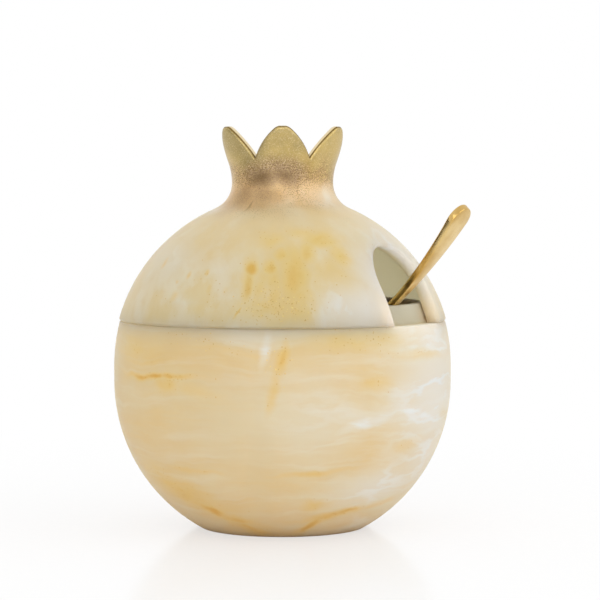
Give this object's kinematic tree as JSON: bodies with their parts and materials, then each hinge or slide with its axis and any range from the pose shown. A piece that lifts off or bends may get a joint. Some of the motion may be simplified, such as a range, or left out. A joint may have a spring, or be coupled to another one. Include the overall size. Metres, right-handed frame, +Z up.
{
  "type": "honey dish",
  "caption": "Round pomegranate-shaped honey dish in marbled cream resin, with a lift-off lid, a gilded petal crown, a spoon notch and a gold-coloured honey spoon.",
  "frame": {"origin": "centre of the flat foot, on the table", "axes": "+Z up along the axis of the bowl and lid, +X towards the spoon notch, with the spoon in the plane Y = 0"},
  "size_m": [0.1245, 0.11, 0.1304],
  "materials": {
    "bowl_resin": "satin cast resin, cream with wispy white and amber marbling",
    "lid_resin": "satin cast resin, cream with amber drips, gold paint sprayed on the crown and fading down the neck",
    "spoon_metal": "polished gold plating"
  },
  "bodies": {
    "bowl": {"bowl": "bowl_resin"},
    "lid": {"lid": "lid_resin"},
    "spoon": {"spoon": "spoon_metal"}
  },
  "joints": [
    {"name": "lid_lift", "type": "slide", "parent": "bowl", "child": "lid", "axis": [0, 0, 1], "range_m": [0, 0.075]},
    {"name": "spoon_draw", "type": "slide", "parent": "bowl", "child": "spoon", "axis": [0.7071, 0, 0.7071], "range_m": [0, 0.115]}
  ]
}
